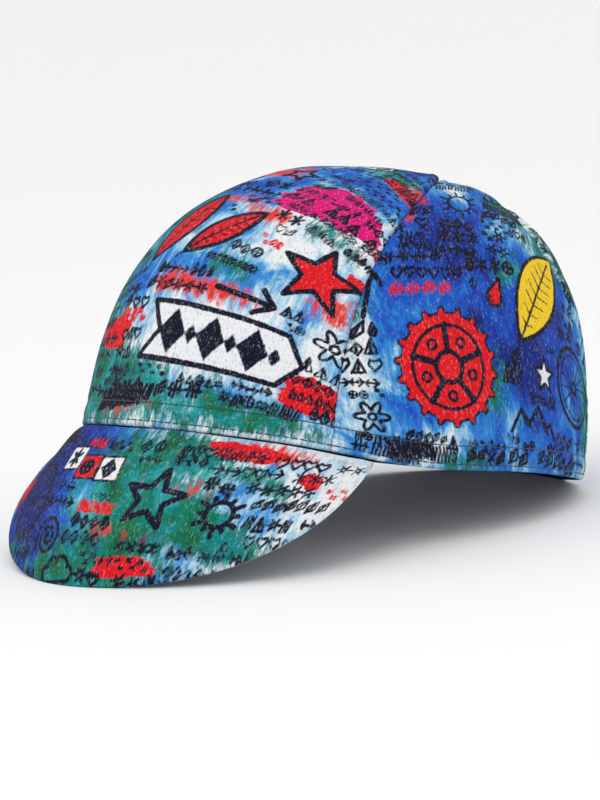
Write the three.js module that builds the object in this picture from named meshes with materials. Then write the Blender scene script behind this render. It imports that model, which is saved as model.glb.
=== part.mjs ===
// A four-panel cotton cycling cap with a turned-down peak, resting on the peak's front edge and the back of its
// rim. Millimetres and degrees. The front is -Y, the wearer's left is +X, up is +Z, and it rests on z = 0.
import * as THREE from 'three';

// Crown: the rim is an oval, and the four panels meet at one point on the rear of the top
const RIM_LENGTH = 196;
const RIM_WIDTH = 155;
const CROWN_HEIGHT = 100.4;
const JUNCTION_SETBACK = 37.4;
const TOP_RISE = 0.134;
const JUNCTION_PEAK = 1.0;
const JUNCTION_PEAK_REACH = 22;

// How far the walls stand out and up between the rim and the top, as shares of the rim's and crown's sizes
const FULLNESS = {
  front: { spread: 0.37, lift: -0.337 },
  side: { spread: 0.155, lift: -0.022 },
  back: { spread: 0.192, lift: 0.157 },
};

// Rim line: a low arch over the brow and a dip over each temple, and a flare where the peak pulls on it
const BROW_ARCH = 1.1;
const BROW_ARCH_HALF_ANGLE = 48;
const TEMPLE_DIP = 3.2;
const TEMPLE_ANGLE = 68;
const TEMPLE_HALF_ANGLE = 22;
const RIM_FLARE = 2.0;
const FLARE_HEIGHT = 7;
const FLARE_HALF_ANGLE = 62;

// Seams between the panels, as angles round the rim from the front, and their swing on the way to the junction
const FRONT_SEAM_ANGLE = 48.5;
const FRONT_SEAM_SWING = 19;
const BACK_SEAM_ANGLE = 138;
const BACK_SEAM_SWING = 28;

// Cloth
const PANEL_CLOTH = 1.2;
const HEM_CLOTH = 1.0;
const PEAK_CLOTH = 1.2;
const SEAM_GAP = 0.3;
const HEM_GAP = 0.6;
const HEM_HEIGHT = 11;

// Peak: straight lines of cloth run out from the rim, steep and slightly arched
const PEAK_END_ANGLE = 57.7;
const PEAK_REACH = 60.2;
const PEAK_SLOPE = 66.4;
const PEAK_SIDE_LIFT = 32;
const PEAK_FAN = 38.6;
const PEAK_FAN_EASE = 8.8;
const PEAK_ARCH = 0.07;
const PEAK_END_REACH = 1.5;
const PEAK_TAPER_POWER = 1.49;
const PEAK_ROUNDING_POWER = 0.39;

// Resting: how far the cloth is pressed flat under its own weight
const REST_PRESS = 2.0;

// Mesh divisions
const ROWS = 17;
const COLUMNS_PER_DEGREE = 1 / 7;
const HEM_SEGMENTS = 72;
const HEM_ROWS = 3;
const PEAK_COLUMNS = 36;
const PEAK_ROWS = 8;
const APEX_ANGLE = 89.6;
const CURVE_STEPS = 32;
const SEARCH_STEPS = 40;

// Where a surface's normal is taken when its own edge is too sharp to give one
const NORMAL_CLIMB = { low: 0.5, high: 88, step: 0.4 };
const NORMAL_PEAK = { edge: 0.98, step: 0.01 };

const RAD = Math.PI / 180;
const bump = (distance, width) => Math.exp(-((distance / width) ** 2));

// Blends a front, side and back value smoothly round the head
function roundTheHead(angle, column) {
  const c = Math.cos(angle * RAD);
  const front = FULLNESS.front[column];
  const side = FULLNESS.side[column];
  const back = FULLNESS.back[column];
  return side + ((front - back) / 2) * c + ((front + back) / 2 - side) * c * c;
}

// Height of the rim line at an angle from the front
function rimHeight(angle) {
  const away = Math.abs(angle) - TEMPLE_ANGLE;
  return BROW_ARCH * bump(angle, BROW_ARCH_HALF_ANGLE) - TEMPLE_DIP * bump(away, TEMPLE_HALF_ANGLE);
}

// A point of the crown's outside: angle round the rim from the front, climb from 0 at the rim to 90 at the top
function crownPoint(angle, climb) {
  const t = angle * RAD;
  const s = Math.sin(climb * RAD);
  const c = Math.cos(climb * RAD);
  const ring = c * (1 + roundTheHead(angle, 'spread') * s * s);
  const rise = s * (1 + roundTheHead(angle, 'lift') * c * c);
  const flare = RIM_FLARE * bump(angle, FLARE_HALF_ANGLE) * Math.exp(-(CROWN_HEIGHT * s) / FLARE_HEIGHT);
  const x = Math.sin(t) * ((RIM_WIDTH / 2) * ring + flare);
  const y = -Math.cos(t) * ((RIM_LENGTH / 2) * ring + flare) + JUNCTION_SETBACK * (1 - ring);
  const fromJunction = Math.hypot(x, y - JUNCTION_SETBACK);
  const z = CROWN_HEIGHT * rise + rimHeight(angle) * (1 - s) + TOP_RISE * (JUNCTION_SETBACK - y) * s
    + JUNCTION_PEAK * Math.exp(-fromJunction / JUNCTION_PEAK_REACH);
  return new THREE.Vector3(x, y, z);
}

// Unit normal of a surface given by two parameters, by central differences
function normalOf(surface, u, v, step) {
  const alongU = surface(u + step, v).sub(surface(u - step, v));
  const alongV = surface(u, v + step).sub(surface(u, v - step));
  return alongU.cross(alongV).normalize();
}

// A point at a depth inside the crown's outside, and on the rim line itself level with it
function crownLayer(angle, climb, depth) {
  const point = crownPoint(angle, climb);
  const at = THREE.MathUtils.clamp(climb, NORMAL_CLIMB.low, NORMAL_CLIMB.high);
  const inward = normalOf(crownPoint, angle, at, NORMAL_CLIMB.step);
  if (inward.dot(new THREE.Vector3(point.x, point.y - JUNCTION_SETBACK / 2, point.z)) > 0) inward.negate();
  if (climb <= 0) inward.setZ(0).normalize();
  return point.addScaledVector(inward, depth);
}

// The climb at which the crown is a given height above its rim line
function climbAtHeight(angle, height) {
  let low = 0;
  let high = APEX_ANGLE;
  for (let i = 0; i < SEARCH_STEPS; i += 1) {
    const middle = (low + high) / 2;
    if (crownPoint(angle, middle).z - crownPoint(angle, 0).z < height) low = middle;
    else high = middle;
  }
  return low;
}

// Seam lines, as an angle from the front at each climb
const frontSeam = (climb) => FRONT_SEAM_ANGLE + FRONT_SEAM_SWING * Math.sin(climb * RAD) ** 4;
const backSeam = (climb) => BACK_SEAM_ANGLE - BACK_SEAM_SWING * Math.sin(climb * RAD);

// Half the gap between two panels, as an angle on a ring of the crown
function gapAngle(angle, climb) {
  const step = crownPoint(angle + 0.5, climb).distanceTo(crownPoint(angle - 0.5, climb));
  return SEAM_GAP / 2 / step;
}

// Peak: share runs from -1 to 1 along the rim, out from 0 at the rim to 1 at the front edge
function peakPoint(share, out) {
  const angle = PEAK_END_ANGLE * share;
  const along = Math.min(Math.abs(share), 1);
  const taper = (1 - along ** PEAK_TAPER_POWER) ** PEAK_ROUNDING_POWER;
  const reach = PEAK_END_REACH + (PEAK_REACH - PEAK_END_REACH) * taper;
  const heading = (PEAK_FAN * share - PEAK_FAN_EASE * share ** 3) * RAD;
  const slope = (PEAK_SLOPE - PEAK_SIDE_LIFT * share ** 4) * RAD;
  const run = reach * out;
  const arch = 4 * PEAK_ARCH * reach * out * (1 - out);
  const level = run * Math.cos(slope) + arch * Math.sin(slope);
  const drop = run * Math.sin(slope) - arch * Math.cos(slope);
  const root = crownPoint(angle, 0);
  return root.add(new THREE.Vector3(level * Math.sin(heading), -level * Math.cos(heading), -drop - SEAM_GAP));
}

// A point at a depth under the peak's outside, whose root lies level under the rim's cloth
function peakLayer(share, out, depth) {
  const angle = PEAK_END_ANGLE * share;
  if (out <= 0) return crownLayer(angle, 0, depth).setZ(crownPoint(angle, 0).z - SEAM_GAP);
  const inset = THREE.MathUtils.clamp(share, -NORMAL_PEAK.edge, NORMAL_PEAK.edge);
  const under = normalOf(peakPoint, inset, Math.min(out, NORMAL_PEAK.edge), NORMAL_PEAK.step);
  if (under.z > 0) under.negate();
  return peakPoint(share, out).addScaledVector(under, depth);
}

// Resting: the pitch at which the peak's edge and the back of the rim touch one flat surface
function spread(from, to) {
  return Array.from({ length: CURVE_STEPS + 1 }, (_, i) => from + ((to - from) * i) / CURVE_STEPS);
}

const frontEdge = spread(-0.5, 0.5).flatMap((share) => [
  peakLayer(share, 1, 0),
  peakLayer(share, 1, 2 * PEAK_CLOTH + SEAM_GAP),
]);
const backEdge = spread(BACK_SEAM_ANGLE, 360 - BACK_SEAM_ANGLE).map((angle) => crownPoint(angle, 0));
const backLine = spread(0, APEX_ANGLE).map((climb) => crownPoint(180, climb));

const pitched = (point, pitch) => point.clone().applyAxisAngle(new THREE.Vector3(1, 0, 0), -pitch * RAD);
const lowest = (points, pitch) => Math.min(...points.map((point) => pitched(point, pitch).z));

function restingPitch() {
  let low = 0;
  let high = PEAK_SLOPE;
  for (let i = 0; i < SEARCH_STEPS; i += 1) {
    const middle = (low + high) / 2;
    if (lowest(frontEdge, middle) < lowest(backEdge, middle)) low = middle;
    else high = middle;
  }
  return low;
}

const PITCH = restingPitch();
const FLOOR = lowest(backEdge, PITCH) + REST_PRESS;
const FRONT_END = Math.min(...frontEdge.map((point) => pitched(point, PITCH).y));
const BACK_END = Math.max(...backLine.map((point) => pitched(point, PITCH).y));

// Stands a point of the level cap on the surface, pressed flat where it rests
function rest(point) {
  const placed = pitched(point, PITCH);
  return new THREE.Vector3(placed.x, placed.y - (FRONT_END + BACK_END) / 2, Math.max(placed.z - FLOOR, 0));
}

// Closed body from a grid of outside points and a grid of inside points
function sheetGeometry(columns, rows, outside, inside, isRing) {
  const width = isRing ? columns : columns + 1;
  const points = [];
  for (const side of [outside, inside]) {
    for (let j = 0; j <= rows; j += 1) {
      for (let i = 0; i < width; i += 1) points.push(rest(side(i / columns, j / rows)));
    }
  }
  const layer = width * (rows + 1);
  const at = (i, j, k) => k * layer + j * width + (i % width);
  const faces = [];
  const quad = (a, b, c, d) => faces.push(a, b, c, a, c, d);
  for (let j = 0; j < rows; j += 1) {
    for (let i = 0; i < columns; i += 1) {
      quad(at(i, j, 0), at(i + 1, j, 0), at(i + 1, j + 1, 0), at(i, j + 1, 0));
      quad(at(i, j + 1, 1), at(i + 1, j + 1, 1), at(i + 1, j, 1), at(i, j, 1));
    }
  }
  for (let i = 0; i < columns; i += 1) {
    quad(at(i, 0, 1), at(i + 1, 0, 1), at(i + 1, 0, 0), at(i, 0, 0));
    quad(at(i, rows, 0), at(i + 1, rows, 0), at(i + 1, rows, 1), at(i, rows, 1));
  }
  for (let j = 0; j < rows && !isRing; j += 1) {
    quad(at(0, j, 0), at(0, j + 1, 0), at(0, j + 1, 1), at(0, j, 1));
    quad(at(columns, j, 1), at(columns, j + 1, 1), at(columns, j + 1, 0), at(columns, j, 0));
  }
  if (signedVolume(points, faces) < 0) faces.reverse();
  const geometry = new THREE.BufferGeometry();
  const numbers = points.flatMap((point) => point.toArray());
  geometry.setAttribute('position', new THREE.Float32BufferAttribute(numbers, 3));
  geometry.setIndex(faces);
  geometry.computeVertexNormals();
  return geometry;
}

function signedVolume(points, faces) {
  let volume = 0;
  for (let i = 0; i < faces.length; i += 3) {
    const [a, b, c] = [points[faces[i]], points[faces[i + 1]], points[faces[i + 2]]];
    volume += a.dot(b.clone().cross(c)) / 6;
  }
  return volume;
}

// One crown panel between two seam lines
function panelGeometry(fromSeam, toSeam) {
  const columns = Math.round(Math.abs(toSeam(0) - fromSeam(0)) * COLUMNS_PER_DEGREE);
  const climbOf = (v) => APEX_ANGLE * v;
  const angleOf = (u, v) => {
    const climb = climbOf(v);
    const from = fromSeam(climb) + gapAngle(fromSeam(climb), climb);
    const to = toSeam(climb) - gapAngle(toSeam(climb), climb);
    return from + (to - from) * u;
  };
  const outside = (u, v) => crownLayer(angleOf(u, v), climbOf(v), 0);
  const inside = (u, v) => crownLayer(angleOf(u, v), climbOf(v), PANEL_CLOTH);
  return sheetGeometry(columns, ROWS, outside, inside, false);
}

// The turned hem inside the rim, all the way round
function hemGeometry() {
  const layer = (depth) => (u, v) => {
    const angle = 360 * u - 180;
    const climb = v > 0 ? climbAtHeight(angle, HEM_HEIGHT * v) : 0;
    return crownLayer(angle, climb, depth);
  };
  const near = PANEL_CLOTH + HEM_GAP;
  return sheetGeometry(HEM_SEGMENTS, HEM_ROWS, layer(near), layer(near + HEM_CLOTH), true);
}

// One face of the peak, whose outside lies at a depth under the peak's top
function peakGeometry(depth) {
  const shareOf = (u) => Math.sin((u - 0.5) * Math.PI);
  const outside = (u, v) => peakLayer(shareOf(u), v, depth);
  const inside = (u, v) => peakLayer(shareOf(u), v, depth + PEAK_CLOTH);
  return sheetGeometry(PEAK_COLUMNS, PEAK_ROWS, outside, inside, false);
}

function piece(name, geometry, color) {
  const material = new THREE.MeshStandardMaterial({ color, roughness: 0.9, metalness: 0 });
  const mesh = new THREE.Mesh(geometry, material);
  mesh.name = name;
  return mesh;
}

const farFrontSeam = (climb) => -frontSeam(climb);
const farBackSeam = (climb) => -backSeam(climb);

const cap = new THREE.Group();
cap.add(piece('front_panel', panelGeometry(farFrontSeam, frontSeam), '#dfe4ee'));
cap.add(piece('left_panel', panelGeometry(frontSeam, backSeam), '#2f6fd0'));
cap.add(piece('right_panel', panelGeometry(farBackSeam, farFrontSeam), '#2a62c4'));
cap.add(piece('back_panel', panelGeometry(backSeam, (climb) => 360 + farBackSeam(climb)), '#23938f'));
cap.add(piece('hem_band', hemGeometry(), '#27305c'));
cap.add(piece('peak_top', peakGeometry(0), '#2b7f97'));
cap.add(piece('peak_under', peakGeometry(PEAK_CLOTH + SEAM_GAP), '#2a5fae'));

export default cap;
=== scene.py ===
import math
import random

import bpy
import numpy as np
from mathutils import Matrix, Vector


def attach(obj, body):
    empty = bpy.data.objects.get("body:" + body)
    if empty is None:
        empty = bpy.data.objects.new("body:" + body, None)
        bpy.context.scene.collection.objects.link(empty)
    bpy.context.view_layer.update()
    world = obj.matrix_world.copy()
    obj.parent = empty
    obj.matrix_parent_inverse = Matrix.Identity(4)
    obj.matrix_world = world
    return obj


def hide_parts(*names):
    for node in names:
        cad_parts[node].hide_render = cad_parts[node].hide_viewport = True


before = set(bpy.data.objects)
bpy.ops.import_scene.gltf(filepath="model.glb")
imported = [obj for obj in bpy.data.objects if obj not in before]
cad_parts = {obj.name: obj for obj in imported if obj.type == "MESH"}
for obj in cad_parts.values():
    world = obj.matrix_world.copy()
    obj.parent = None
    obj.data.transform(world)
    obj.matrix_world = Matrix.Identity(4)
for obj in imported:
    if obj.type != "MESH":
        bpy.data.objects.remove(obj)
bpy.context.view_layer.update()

MM = 0.001

# Crown, in a level frame of its own: origin at the middle of the rim, -Y the front, +X the wearer's left
RIM_LENGTH = 0.196
RIM_WIDTH = 0.155
CROWN_HEIGHT = 0.1004
JUNCTION_SETBACK = 0.0374
TOP_RISE = 0.134
JUNCTION_PEAK = 0.001
JUNCTION_PEAK_REACH = 0.022
SPREAD = {"front": 0.37, "side": 0.155, "back": 0.192}
LIFT = {"front": -0.337, "side": -0.022, "back": 0.157}
BROW_ARCH = 0.0011
BROW_ARCH_HALF_ANGLE = 48
TEMPLE_DIP = 0.0032
TEMPLE_ANGLE = 68
TEMPLE_HALF_ANGLE = 22
RIM_FLARE = 0.002
FLARE_HEIGHT = 0.007
FLARE_HALF_ANGLE = 62
FRONT_SEAM_ANGLE = 48.5
FRONT_SEAM_SWING = 19
BACK_SEAM_ANGLE = 138
BACK_SEAM_SWING = 28
APEX_ANGLE = 89.95

# Cloth
SEAM_GAP = 0.0003
PANEL_CLOTH = 0.0012
PEAK_CLOTH = 0.0012
HEM_HEIGHT = 0.011
HEM_INSIDE = 0.0018
HEM_CLOTH = 0.001
RIM_FOLD = 0.0013
SEAM_ALLOWANCE = 0.007
ALLOWANCE_CLOTH = 0.0006
ALLOWANCE_START = HEM_HEIGHT + 0.001
SEAM_SLIT = 0.00006
SEAM_SLIT_REACH = 0.001
THINNEST_CLOTH = 0.00025
REST_PRESS = 0.002

# Stitches: the height of each row above the rim, the thread, and how far a stitch is sunk in the outside and
# stands clear of the inside. The ends and the arch of a stitch are in radii of its thread.
STITCH_ROWS = (0.00185, 0.0080)
STITCH_PITCH = 0.0029
STITCH_LENGTH = 0.00275
STITCH_ENDS = -1.0
STITCH_ARCH = 1.9
STITCH_SINK = 0.00016
STITCH_CLEAR = 0.00002
THREAD_RADIUS = 0.00019

# Relief of the crown's cloth: slow waves above the hem, the seams with a ridge and puckers beside them, the
# grooves of the stitch rows with a raised band between them, and the cloth gathered above them
WAVE_COUNT = 7
WAVE_LENGTHS = (0.026, 0.06)
WAVE_HEIGHT = 0.0013
WAVE_START = 0.0012
WAVE_EASE = 0.014
HEM_SEAM_GROOVE = 0.0004
MORE_SEAM_GROOVE = 0.0006
SEAM_GROOVE_WIDTH = 0.0009
SEAM_RIDGE = 0.0003
SEAM_RIDGE_PLACE = 0.0026
SEAM_RIDGE_WIDTH = 0.0018
PUCKER = 0.00022
PUCKER_REACH = 0.006
PUCKER_RIPPLES = (0.0085, 1.7, 0.013)
ROW_GROOVE = 0.0003
ROW_GROOVE_WIDTH = 0.00085
BAND_RISE = 0.0003
BAND_WIDTH = 0.0021
GATHER = 0.00035
GATHER_REACH = 0.006
GATHER_CLEAR = 0.002
GATHER_RIPPLES = (0.011, 2.2, 0.019)

# Relief of the turned hem
HEM_WAVE = 0.0002
HEM_RIPPLES = (0.013, 2, 0.03)
HEM_GROOVE_WIDTH = 0.0009
HEM_DEEPEST = 0.0004
HEM_TOP_FOLD = 0.0005
HEM_THINNEST = 0.0002

# Peak: straight lines of cloth run out from the rim, steep and slightly arched
PEAK_END_ANGLE = 57.7
PEAK_REACH = 0.0602
PEAK_SLOPE = 66.4
PEAK_SIDE_LIFT = 32
PEAK_FAN = 38.6
PEAK_FAN_EASE = 8.8
PEAK_ARCH = 0.07
PEAK_END_REACH = 0.0015
PEAK_TAPER_POWER = 1.49
PEAK_ROUNDING_POWER = 0.39
PEAK_THICKNESS = 2 * PEAK_CLOTH + SEAM_GAP
PEAK_FOLD = 0.00125
PEAK_INSET = 0.0007
PEAK_INSET_REACH = 0.0016
PEAK_TURNED_IN = 0.012

# Peak's faces: their relief, how near they come to the middle between them, and their flat cloth, which
# leans out less than the peak does and gains area by widening and by its turned-in edges
PEAK_WAVE_HEIGHT = 0.0009
PEAK_WAVE_EASE = 0.012
PEAK_SIDE_SLANT = 0.2
PEAK_SIDE_START = 0.0002
ROLL_LINE = 0.00018
ROLL_LINE_PLACE = 0.0042
ROLL_LINE_WIDTH = 0.0016
PEAK_MIDDLE_GAP = 0.0001
PEAK_WRONG_SIDE = 0.00015
PEAK_THINNEST = 0.00005
PEAK_CHART_LEAN = 0.4
PEAK_WIDENING = 1.1

# Mesh spacing of the printed side, how many of its cells go to one cell of the wrong side, how the points
# crowd, and how many of them measure a line
PRINT_CELL = 0.00062
COARSE = 4
COARSE_GRID = (slice(None, None, COARSE), slice(None, None, COARSE))
FOLD_STEPS = 8
SEAM_CROWDING = 0.3
PEAK_END_CROWDING = 0.55
PEAK_MIDDLE_CROWDING = 0.11
HEM_COLUMNS = 720
HEM_STEPS = 16
HEM_CLIMB = 16
HEM_PROBES = 80
CLIMB_PROBES = 900
RIM_PROBES = 200
ROOT_PROBES = 400
STITCH_PROBES = 480

# Where a surface's normal is taken when its own edge is too sharp to give one, in degrees and shares
NORMAL_CLIMBS = (0.5, 88)
NORMAL_CLIMB_STEP = 0.4
NORMAL_PEAK_EDGE = 0.98
NORMAL_PEAK_STEP = 0.01

# Camera, found in the level frame of the rim
CAMERA_AZIMUTH = 44.12
CAMERA_ELEVATION = -2.07
CAMERA_ROLL = 5.92
CAMERA_DISTANCE = 1.15
CAMERA_AIM = (-0.01357, 0.01898)
FOCAL_PIXELS = 3273
PICTURE_HEIGHT = 800
SENSOR = 36.0

# Floor, just under the surface that the cap rests on
FLOOR_HALF_SIDE = 12.0
FLOOR_DROP = 0.0001

# Look of the cloth: threads in mm, the lean of its ribs in degrees, how pale the wrong side is, and how far
# apart in mm the pieces lie in the noise, so that no two have the same clouds
THREAD_SPACING = 0.7
RIB_LEAN = 32
WRONG_SIDE_PALENESS = 0.5
NOISE_SHIFT = 37.0


def bump(distance, width):
    return np.exp(-((distance / width) ** 2))


# Blends a front, side and back value smoothly round the head
def round_the_head(angle, values):
    c = np.cos(np.radians(angle))
    front, side, back = values["front"], values["side"], values["back"]
    return side + (front - back) / 2 * c + ((front + back) / 2 - side) * c * c


def rim_height(angle):
    away = np.abs(angle) - TEMPLE_ANGLE
    return BROW_ARCH * bump(angle, BROW_ARCH_HALF_ANGLE) - TEMPLE_DIP * bump(away, TEMPLE_HALF_ANGLE)


# Points of the crown's outside: angle round the rim from the front, climb from 0 at the rim to 90 at the
# junction of the panels
def crown_point(angle, climb):
    angle, climb = np.broadcast_arrays(np.asarray(angle, float), np.asarray(climb, float))
    t = np.radians(angle)
    s = np.sin(np.radians(climb))
    c = np.cos(np.radians(climb))
    ring = c * (1 + round_the_head(angle, SPREAD) * s * s)
    rise = s * (1 + round_the_head(angle, LIFT) * c * c)
    flare = RIM_FLARE * bump(angle, FLARE_HALF_ANGLE) * np.exp(-CROWN_HEIGHT * s / FLARE_HEIGHT)
    x = np.sin(t) * (RIM_WIDTH / 2 * ring + flare)
    y = -np.cos(t) * (RIM_LENGTH / 2 * ring + flare) + JUNCTION_SETBACK * (1 - ring)
    from_junction = np.hypot(x, y - JUNCTION_SETBACK)
    z = CROWN_HEIGHT * rise + rim_height(angle) * (1 - s) + TOP_RISE * (JUNCTION_SETBACK - y) * s
    z = z + JUNCTION_PEAK * np.exp(-from_junction / JUNCTION_PEAK_REACH)
    return np.stack([x, y, z], -1)


def unit(vectors):
    return vectors / np.maximum(np.linalg.norm(vectors, axis=-1, keepdims=True), 1e-12)


# Unit vectors into the crown
def crown_inward(angle, climb):
    step = NORMAL_CLIMB_STEP
    at = np.clip(climb, *NORMAL_CLIMBS)
    along = crown_point(angle + step, at) - crown_point(angle - step, at)
    up = crown_point(angle, at + step) - crown_point(angle, at - step)
    inward = unit(np.cross(along, up))
    point = crown_point(angle, climb)
    centre = np.array([0, JUNCTION_SETBACK / 2, 0])
    outwards = ((point - centre) * inward).sum(-1, keepdims=True) > 0
    return np.where(outwards, -inward, inward)


def front_seam(climb):
    return FRONT_SEAM_ANGLE + FRONT_SEAM_SWING * np.sin(np.radians(climb)) ** 4


def back_seam(climb):
    return BACK_SEAM_ANGLE - BACK_SEAM_SWING * np.sin(np.radians(climb))


# Points of the peak's top: share from -1 to 1 along the rim, out from 0 at the rim to 1 at the front edge
def peak_point(share, out):
    share, out = np.broadcast_arrays(np.asarray(share, float), np.asarray(out, float))
    reach = peak_reach(share)
    heading = np.radians(PEAK_FAN * share - PEAK_FAN_EASE * share ** 3)
    slope = np.radians(PEAK_SLOPE - PEAK_SIDE_LIFT * share ** 4)
    run = reach * out
    arch = 4 * PEAK_ARCH * reach * out * (1 - out)
    level = run * np.cos(slope) + arch * np.sin(slope)
    drop = run * np.sin(slope) - arch * np.cos(slope)
    root = crown_point(PEAK_END_ANGLE * share, 0)
    return root + np.stack([level * np.sin(heading), -level * np.cos(heading), -drop - SEAM_GAP], -1)


def peak_reach(share):
    taper = (1 - np.minimum(np.abs(share), 1) ** PEAK_TAPER_POWER) ** PEAK_ROUNDING_POWER
    return PEAK_END_REACH + (PEAK_REACH - PEAK_END_REACH) * taper


# Unit vectors from the peak's top to its under side
def peak_under(share, out):
    edge, step = NORMAL_PEAK_EDGE, NORMAL_PEAK_STEP
    s, o = np.clip(share, -edge, edge), np.minimum(out, edge)
    along = peak_point(s + step, o) - peak_point(s - step, o)
    outward = peak_point(s, o + step) - peak_point(s, o - step)
    under = unit(np.cross(along, outward))
    return np.where(under[..., 2:] > 0, -under, under)


def pitched(points, pitch):
    b = math.radians(pitch)
    x, y, z = points[..., 0], points[..., 1], points[..., 2]
    return np.stack([x, y * math.cos(b) + z * math.sin(b), z * math.cos(b) - y * math.sin(b)], -1)


# The pitch at which the peak's edge and the back of the rim touch one flat surface, found by halving, then
# that surface's height and the middle of the cap's length
def resting_pose(probes=33, halvings=40, top_of_back=89.6):
    share = np.linspace(-0.5, 0.5, probes)
    tip = peak_point(share, 1.0)
    front = np.concatenate([tip, tip + peak_under(share, np.ones_like(share)) * PEAK_THICKNESS])
    back = crown_point(np.linspace(BACK_SEAM_ANGLE, 360 - BACK_SEAM_ANGLE, probes), 0)
    low, high = 0.0, PEAK_SLOPE
    for _ in range(halvings):
        middle = (low + high) / 2
        if pitched(front, middle)[:, 2].min() < pitched(back, middle)[:, 2].min():
            low = middle
        else:
            high = middle
    floor = pitched(back, low)[:, 2].min() + REST_PRESS
    front_end = pitched(front, low)[:, 1].min()
    back_line = crown_point(180.0, np.linspace(0, top_of_back, probes))
    back_end = pitched(back_line, low)[:, 1].max()
    return low, floor, (front_end + back_end) / 2


PITCH, FLOOR, MIDDLE = resting_pose()


# Stands points of the level cap on the surface, pressed flat where they rest
def rest(points):
    placed = pitched(points, PITCH)
    placed[..., 1] -= MIDDLE
    placed[..., 2] = np.maximum(placed[..., 2] - FLOOR, 0)
    return placed


# Camera, at the photograph's angle
def make_camera():
    azimuth, elevation, roll = map(math.radians, (CAMERA_AZIMUTH, CAMERA_ELEVATION, CAMERA_ROLL))
    back = Vector((
        math.sin(azimuth) * math.cos(elevation),
        -math.cos(azimuth) * math.cos(elevation),
        math.sin(elevation),
    ))
    level = Vector((math.cos(azimuth), math.sin(azimuth), 0))
    upright = back.cross(level)
    right = level * math.cos(roll) + upright * math.sin(roll)
    up = upright * math.cos(roll) - level * math.sin(roll)
    aim = right * CAMERA_AIM[0] + up * CAMERA_AIM[1]
    pitch = Matrix.Rotation(math.radians(-PITCH), 3, "X")
    place = pitch @ (aim + back * CAMERA_DISTANCE) - Vector((0, MIDDLE, FLOOR))
    turn = Matrix((pitch @ right, pitch @ up, pitch @ back)).transposed()
    data = bpy.data.cameras.new("camera")
    data.sensor_width = SENSOR
    data.lens = FOCAL_PIXELS * SENSOR / PICTURE_HEIGHT
    data.clip_start = 0.05
    data.clip_end = 50
    camera = bpy.data.objects.new("camera", data)
    camera.matrix_world = Matrix.Translation(place) @ turn.to_4x4()
    bpy.context.scene.collection.objects.link(camera)
    bpy.context.scene.camera = camera


# Print: inks and washes, worked out at each point of a piece's mesh. Reaches are mm from an edge or a line.
INKS = ("black", "red", "gold", "pink", "white")
WASHES = ("blue", "green", "rust", "dark")
INK_REACH = 4.0
LINE_REACH = 2.5

# Rows of small signs: their lengths in mm, the share of red ones, and how unsteady a stroke is, in heights
ROW_LENGTHS = (12, 34)
SHORTEST_ROW = 6
RED_ROWS = 0.07
SHAKE = 0.03


class Print:
    """What is printed on one piece of cloth.

    Places are mm on the flat cloth, x across it and y up from the rim. An ink holds the distance in mm from
    each point to the ink's edge, negative inside it. A wash holds its depth.
    """

    def __init__(self, across, up, number):
        self.x = across.ravel() / MM
        self.y = up.ravel() / MM
        self.number = number
        self.inks = {ink: np.full(self.x.size, INK_REACH) for ink in INKS}
        self.washes = {wash: np.zeros(self.x.size) for wash in WASHES}
        self.taken = []

    def near(self, points, margin):
        low, high = points.min(0) - margin, points.max(0) + margin
        inside = (self.x > low[0]) & (self.x < high[0]) & (self.y > low[1]) & (self.y < high[1])
        return np.nonzero(inside)[0]

    def distances(self, near, points):
        at = np.stack([self.x[near], self.y[near]], -1)
        best = np.full(near.size, np.inf)
        for a, b in zip(points[:-1], points[1:]):
            along = b - a
            share = np.clip(((at - a) @ along) / max(along @ along, 1e-9), 0, 1)
            best = np.minimum(best, np.linalg.norm(at - a - share[:, None] * along, axis=1))
        return best

    def line(self, points, width, ink="black"):
        points = np.asarray(points, float)
        near = self.near(points, LINE_REACH)
        found = self.distances(near, points) - width / 2
        self.inks[ink][near] = np.minimum(self.inks[ink][near], found)

    # Fills an outline. It covers the other colours, and the black lines too where covers_black says so.
    def shape(self, points, ink, edge=0.0, covers_black=True):
        points = np.asarray(points, float)
        closed = np.vstack([points, points[:1]])
        near = self.near(points, INK_REACH)
        found = self.distances(near, closed)
        inside = np.zeros(near.size, bool)
        x, y = self.x[near], self.y[near]
        for (ax, ay), (bx, by) in zip(closed[:-1], closed[1:]):
            if ay != by:
                inside ^= ((ay > y) != (by > y)) & (x < (bx - ax) * (y - ay) / (by - ay) + ax)
        found = np.where(inside, -found, found)
        self.inks[ink][near] = np.minimum(self.inks[ink][near], found)
        for other in INKS if covers_black else INKS[1:]:
            if other != ink:
                self.inks[other][near] = np.maximum(self.inks[other][near], -found)
        if edge:
            self.line(closed, edge)

    def wash(self, name, x, y, wide, tall, amount, turn=0.0):
        c, s = math.cos(math.radians(turn)), math.sin(math.radians(turn))
        u = (self.x - x) * c + (self.y - y) * s
        v = (self.y - y) * c - (self.x - x) * s
        self.washes[name] += amount * np.exp(-((u / wide) ** 2) - (v / tall) ** 2)

    # Keeps the rows of small marks out of a rectangle, turned as its motif is
    def keep(self, x, y, wide, tall, turn=0.0):
        self.taken.append((x, y, wide / 2, tall / 2, math.radians(turn)))

    def is_free(self, points):
        if not self.taken:
            return True
        x, y, wide, tall, turn = np.array(self.taken).T
        away_x, away_y = points[:, :1] - x, points[:, 1:] - y
        u = away_x * np.cos(turn) + away_y * np.sin(turn)
        v = away_y * np.cos(turn) - away_x * np.sin(turn)
        return not ((np.abs(u) < wide) & (np.abs(v) < tall)).any()


# Points of a motif, turned and moved to its place on the cloth
def placed(points, x, y, size=1.0, turn=0.0):
    c, s = math.cos(math.radians(turn)), math.sin(math.radians(turn))
    points = np.asarray(points, float) * size
    return np.stack([x + points[:, 0] * c - points[:, 1] * s, y + points[:, 0] * s + points[:, 1] * c], -1)


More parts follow.
